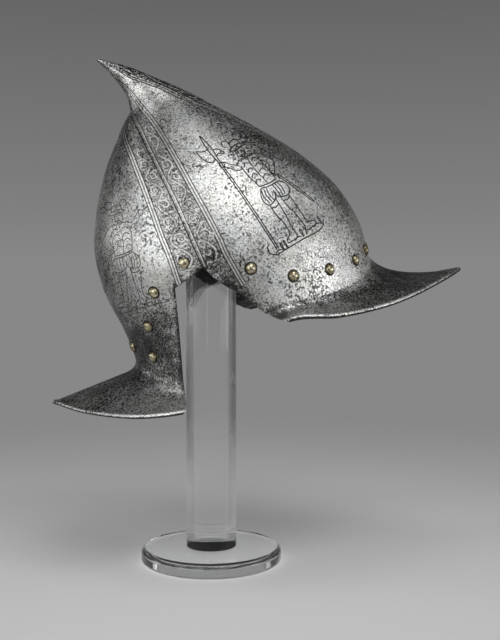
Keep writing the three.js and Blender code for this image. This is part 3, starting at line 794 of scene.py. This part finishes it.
# A dark ring lies on the plate round the foot of each head: painted shade where the head meets the plate, with
# the dirt gathered there.
shade_and_dirt_rings = Film()
for points, ways in seats[1:]:
    out = Vector(ways[0]).normalized()
    level = out.orthogonal().normalized()
    steep = out.cross(level)
    round_head = [
        Vector(points[0]) + (HEAD + 0.3) * (level * math.cos(a) + steep * math.sin(a))
        for a in np.linspace(0, 2 * math.pi, 31)
    ]
    shade_and_dirt_rings.lay(np.array(round_head), 1.2, 0.06)
shade_and_dirt = shade_and_dirt_rings.piece("rivet_shade_and_dirt", etch_and_shade_black)
set_on_post(shade_and_dirt)
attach(shade_and_dirt, "root")
set_on_post(rivets)
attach(rivets, "root")
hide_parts(*[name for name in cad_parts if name.startswith("rivet_")])


# ---- Stand ----
# A polished rod of clear acrylic bonded on to a thick clear disc. The disc's rims are rounded over and the
# rod's hidden top is sawn on a slant to lie under the slope of the skull.
POST_RADIUS = 0.0207
POST_TOP = 0.385
BASE_RADIUS = 0.058
BASE_HEIGHT = 0.012
UPPER_ROUND, LOWER_ROUND = 0.0045, 0.003  # the disc's rims
POST_CUT_HEIGHT, POST_CUT_WAY = 0.3625, (0.5, 0, 0.866)
post = turned("stand_rod", [
    (POST_RADIUS - 0.0008, BASE_HEIGHT + 0.0002),
    (POST_RADIUS - 0.0003, BASE_HEIGHT + 0.0002),
    (POST_RADIUS, BASE_HEIGHT + 0.0006),
    (POST_RADIUS, BASE_HEIGHT + 0.0012),
    (POST_RADIUS, POST_TOP),
], 128)
bpy.ops.object.mode_set(mode="EDIT")
bpy.ops.mesh.select_all(action="SELECT")
bpy.ops.mesh.bisect(plane_co=(0, 0, POST_CUT_HEIGHT), plane_no=POST_CUT_WAY, use_fill=True, clear_outer=True)
bpy.ops.object.mode_set(mode="OBJECT")
bpy.ops.object.shade_smooth_by_angle(angle=math.radians(40))
over_radius, over_height = BASE_RADIUS - UPPER_ROUND, BASE_HEIGHT - UPPER_ROUND
over = [
    (over_radius + UPPER_ROUND * math.cos(a), over_height + UPPER_ROUND * math.sin(a))
    for a in np.radians(np.linspace(0, 90, 8))
]
under = [
    (BASE_RADIUS - LOWER_ROUND + LOWER_ROUND * math.cos(a), LOWER_ROUND + LOWER_ROUND * math.sin(a))
    for a in np.radians(np.linspace(-90, 0, 7))
]
inner = BASE_RADIUS - UPPER_ROUND - 0.001
base = turned("stand_disc", [(inner, 0), *under, *over, (inner, BASE_HEIGHT)], 160)
bpy.ops.object.shade_smooth_by_angle(angle=math.radians(40))

clear_acrylic, tree, shader, here = new_finish("clear_acrylic")
shader.inputs["Base Color"].default_value = (1, 1, 1, 1)
shader.inputs["Transmission Weight"].default_value = 0.985
shader.inputs["IOR"].default_value = 1.4
haze = noise(tree, here, 90, 3, 0.5)
tree.links.new(ramp(tree, haze, (0.45, 0.0), (0.75, 0.05)), shader.inputs["Roughness"])
shader.inputs["Alpha"].default_value = 0.6
# The disc is tinted grey: painted shade for the light lost through the thick disc and for its shadow on the
# floor beneath, which it doesn't cast.
shade_tinted_acrylic = clear_acrylic.copy()
shade_tinted_acrylic.name = "shade_tinted_acrylic"
shader = shade_tinted_acrylic.node_tree.nodes["Principled BSDF"]
shader.inputs["Base Color"].default_value = (0.78, 0.79, 0.785, 1)
shader.inputs["Alpha"].default_value = 1.0
for piece, cad_node, finish in ((post, "stand_post", clear_acrylic), (base, "stand_base", shade_tinted_acrylic)):
    piece.data.materials.append(finish)
    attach(piece, "root")
    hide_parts(cad_node)
    piece.visible_shadow = False

# The black cement shows through the foot of the rod.
black_cement, tree, shader, here = new_finish("black_cement")
cement = ramp(tree, noise(tree, here, 300, 3, 0.6), (0.4, 0.002), (0.7, 0.008))
tree.links.new(cement, shader.inputs["Base Color"])
shader.inputs["Roughness"].default_value = 0.4
shader.inputs["Specular IOR Level"].default_value = 0.0
post.data.materials.append(black_cement)
for face in post.data.polygons:
    if face.normal.z < -0.9:
        face.material_index = 1


# ---- Studio ----
# A pale floor that runs back into a soft grey backdrop, a ring of soft boxes on the camera's side and above,
# and the camera level with the helmet on the wearer's right.
LIGHT_DISTANCE, LIGHT_SIZE = 1.7, 0.6
HELMET_MIDDLE = Vector((0, 0, 0.27))
BACKDROP_WAY = (0.139, 0.99, 0)  # the middle of the backdrop, from the helmet
CAMERA_PLACE = (-0.0852, -0.8363, 0.247)
CAMERA_DOWN, CAMERA_TURN = 3.24, -8
bpy.ops.object.select_all(action="DESELECT")
bpy.ops.mesh.primitive_plane_add(size=12, location=(0, 0, -0.0005))
floor = bpy.context.object
floor.name = "floor"
bpy.ops.object.transform_apply(location=True, rotation=False, scale=False)
pale_floor, tree, shader, here = new_finish("pale_floor")
shader.inputs["Roughness"].default_value = 0.7
reach = tree.nodes.new("ShaderNodeVectorMath")
reach.operation = "LENGTH"
tree.links.new(here, reach.inputs[0])
# The floor is painted a little darker close round the stand, a painted shade, then fades out further off.
tree.links.new(ramp(tree, reach.outputs["Value"], (0.06, 0.88), (0.26, 1.0)), shader.inputs["Base Color"])
tree.links.new(ramp(tree, reach.outputs["Value"], (0.1, 1.0), (0.8, 0.0)), shader.inputs["Alpha"])
floor.data.materials.append(pale_floor)

# The backdrop is lit behind the helmet only, and the table before it gives a faint glow from below.
world = bpy.data.worlds.new("studio")
bpy.context.scene.world = world
world.use_nodes = True
tree = world.node_tree
sky = tree.nodes["Background"]
direction = tree.nodes.new("ShaderNodeTexCoord").outputs["Generated"]
up = tree.nodes.new("ShaderNodeSeparateXYZ")
tree.links.new(direction, up.inputs[0])
backdrop = ramp(tree, up.outputs["Z"], (0.0, 0.245), (0.06, 0.21), (0.26, 0.125), (0.45, 0.035), (1.0, 0.02))
facing = node(tree, "ShaderNodeVectorMath", operation="DOT_PRODUCT")
facing.inputs[1].default_value = BACKDROP_WAY
tree.links.new(direction, facing.inputs[0])
behind = ramp(tree, facing.outputs["Value"], (0.66, 0.12), (0.92, 1.0))
behind.node.color_ramp.interpolation = "EASE"
below = arithmetic(tree, "MULTIPLY", up.outputs["Z"], -1)
before = ramp(tree, arithmetic(tree, "MULTIPLY", up.outputs["Y"], -1), (0.05, 0.0), (0.5, 1.0))
table = arithmetic(tree, "MULTIPLY", ramp(tree, below, (0.0, 0.0), (0.15, 0.16)), before)
glow = arithmetic(tree, "ADD", arithmetic(tree, "MULTIPLY", backdrop, behind), table)
tree.links.new(glow, sky.inputs["Color"])


def soft_box(name, azimuth, elevation, power):
    """A square soft box aimed at the helmet; its azimuth runs from the camera's side towards the front."""
    data = bpy.data.lights.new(name, "AREA")
    data.size = LIGHT_SIZE
    data.energy = power
    light = bpy.data.objects.new(name, data)
    bpy.context.collection.objects.link(light)
    a, e = math.radians(azimuth), math.radians(elevation)
    way = Vector((math.sin(a) * math.cos(e), -math.cos(a) * math.cos(e), math.sin(e)))
    light.location = HELMET_MIDDLE + way * LIGHT_DISTANCE
    light.rotation_euler = way.to_track_quat("Z", "Y").to_euler()


for name, azimuth, elevation, power in (
    ("front_low", 70, 2, 4.1),
    ("front_near_low", 45, 2, 1.9),
    ("front_high", 40, 50, 4.6),
    ("front_side", 100, 4, 1.0),
    ("front_far", 90, 35, 1.2),
    ("near", 18, 26, 2.8),
    ("near_high", 6, 50, 4.0),
    ("near_rear", -30, 26, 3.1),
    ("near_rear_low", -30, 2, 2.9),
    ("rear_low", -55, 2, 2.8),
    ("rear", -62, 30, 2.4),
    ("rear_side", -80, 2, 1.4),
    ("rear_far", -105, 2, 2.0),
    ("rear_top", -90, 50, 2.0),
    ("top", 0, 78, 2.0),
):
    soft_box(name, azimuth, elevation, power)

camera_data = bpy.data.cameras.new("camera")
camera_data.lens = 57.6
camera = bpy.data.objects.new("camera", camera_data)
bpy.context.collection.objects.link(camera)
camera.location = CAMERA_PLACE
camera.rotation_euler = (math.radians(90 - CAMERA_DOWN), 0, math.radians(CAMERA_TURN))
bpy.context.scene.camera = camera
bpy.context.scene.view_settings.view_transform = "Standard"
